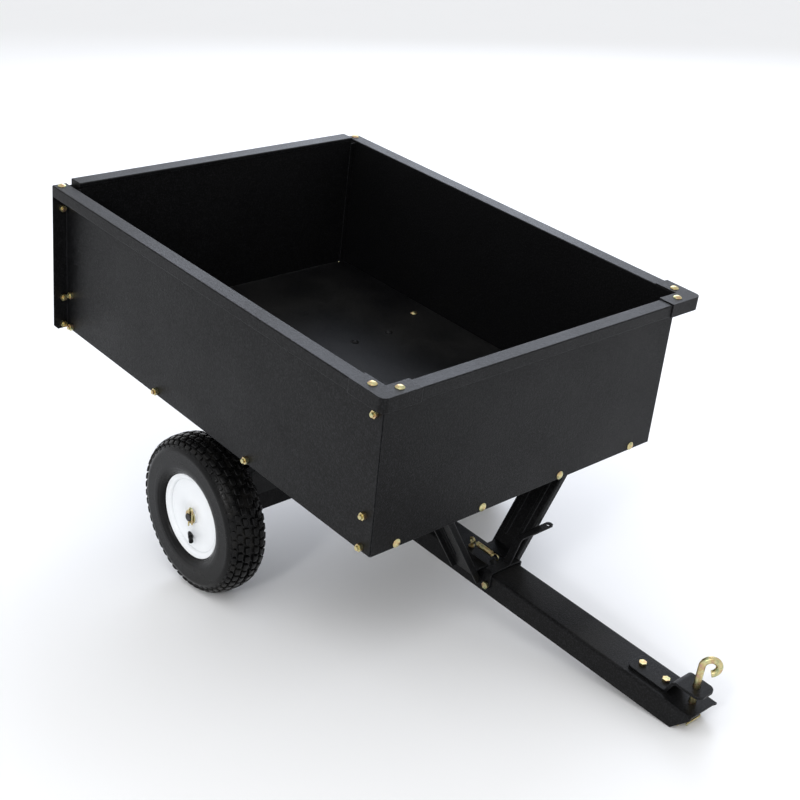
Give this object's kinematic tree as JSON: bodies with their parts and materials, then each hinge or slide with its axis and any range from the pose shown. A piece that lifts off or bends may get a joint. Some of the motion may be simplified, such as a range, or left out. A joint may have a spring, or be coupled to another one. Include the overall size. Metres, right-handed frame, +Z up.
{
  "type": "tow behind dump cart",
  "caption": "Two-wheeled steel dump cart with a high-sided open bed, lift-out tailgate, central channel drawbar, spring latch and pin hitch.",
  "frame": {"origin": "on the floor under the middle of the parked cart", "axes": "+X towards the hitch, +Y to the left, +Z up; the cart is parked with its drawbar nose on the floor, about 8.7 degrees nose down"},
  "size_m": [1.3724, 0.7662, 0.7225],
  "materials": {
    "black_powder_coat": "satin textured powder coat",
    "white_enamel": "gloss enamel",
    "tyre_rubber": "matte with a smooth sidewall",
    "valve_rubber": "matte",
    "nylon": "matte",
    "yellow_zinc": "yellow zinc plate",
    "dark_steel": "oiled dark steel"
  },
  "bodies": {
    "chassis": {"tongue": "black_powder_coat", "axle": "dark_steel", "axle_spacers": "dark_steel", "wheel_washers": "yellow_zinc", "wheel_clips": "yellow_zinc", "hitch_strap": "black_powder_coat", "strap_bolts": "yellow_zinc", "latch_bolt": "yellow_zinc", "latch_spring": "yellow_zinc", "spring_anchor": "yellow_zinc"},
    "bed": {"floor_panel": "black_powder_coat", "front_panel": "black_powder_coat", "floor_rib": "black_powder_coat", "front_bolts": "yellow_zinc", "rib_bolts": "yellow_zinc", "rail_bolts": "yellow_zinc", "side_panel_right": "black_powder_coat", "corner_cap_right": "black_powder_coat", "guide_post_right": "black_powder_coat", "axle_bracket_right": "black_powder_coat", "axle_bushes_right": "nylon", "bed_strut_right": "black_powder_coat", "side_bolts_right": "yellow_zinc", "post_bolts_right": "yellow_zinc", "cap_bolts_right": "yellow_zinc", "bracket_bolts_right": "black_powder_coat", "strut_bolts_right": "black_powder_coat", "side_panel_left": "black_powder_coat", "corner_cap_left": "black_powder_coat", "guide_post_left": "black_powder_coat", "axle_bracket_left": "black_powder_coat", "axle_bushes_left": "nylon", "bed_strut_left": "black_powder_coat", "side_bolts_left": "yellow_zinc", "post_bolts_left": "yellow_zinc", "cap_bolts_left": "yellow_zinc", "bracket_bolts_left": "black_powder_coat", "strut_bolts_left": "black_powder_coat"},
    "gate": {"tailgate": "black_powder_coat"},
    "latch": {"latch_lever": "black_powder_coat"},
    "pin": {"hitch_pin": "yellow_zinc"},
    "clip": {"hitch_clip": "yellow_zinc"},
    "right_wheel": {"right_tyre": "tyre_rubber", "right_rim": "white_enamel", "right_wheel_disc": "white_enamel", "right_hub": "white_enamel", "right_hub_bushes": "nylon", "right_valve": "valve_rubber"},
    "left_wheel": {"left_tyre": "tyre_rubber", "left_rim": "white_enamel", "left_wheel_disc": "white_enamel", "left_hub": "white_enamel", "left_hub_bushes": "nylon", "left_valve": "valve_rubber"}
  },
  "joints": [
    {"name": "bed_tilt", "type": "hinge", "parent": "chassis", "child": "bed", "pos_m": [-0.24176, 0, 0.155], "axis": [0, -1, 0], "range_deg": [0, 45]},
    {"name": "tailgate_lift", "type": "slide", "parent": "bed", "child": "gate", "axis": [0.1516, 0, 0.9884], "range_m": [0, 0.33]},
    {"name": "latch_release", "type": "hinge", "parent": "chassis", "child": "latch", "pos_m": [0.21638, 0, 0.08475], "axis": [0, 1, 0], "range_deg": [0, 20], "stiffness_Nm_per_rad": 0.8, "springref_deg": -14.32, "deforming": ["latch_spring"]},
    {"name": "right_wheel_spin", "type": "hinge", "parent": "chassis", "child": "right_wheel", "pos_m": [-0.24176, -0.334, 0.155], "axis": [0, 1, 0], "continuous": true},
    {"name": "left_wheel_spin", "type": "hinge", "parent": "chassis", "child": "left_wheel", "pos_m": [-0.24176, 0.334, 0.155], "axis": [0, 1, 0], "continuous": true},
    {"name": "pin_lift", "type": "slide", "parent": "chassis", "child": "pin", "axis": [0.1516, 0, 0.9884], "range_m": [0, 0.028]},
    {"name": "clip_pull", "type": "slide", "parent": "pin", "child": "clip", "axis": [0, 1, 0], "range_m": [0, 0.007]}
  ]
}
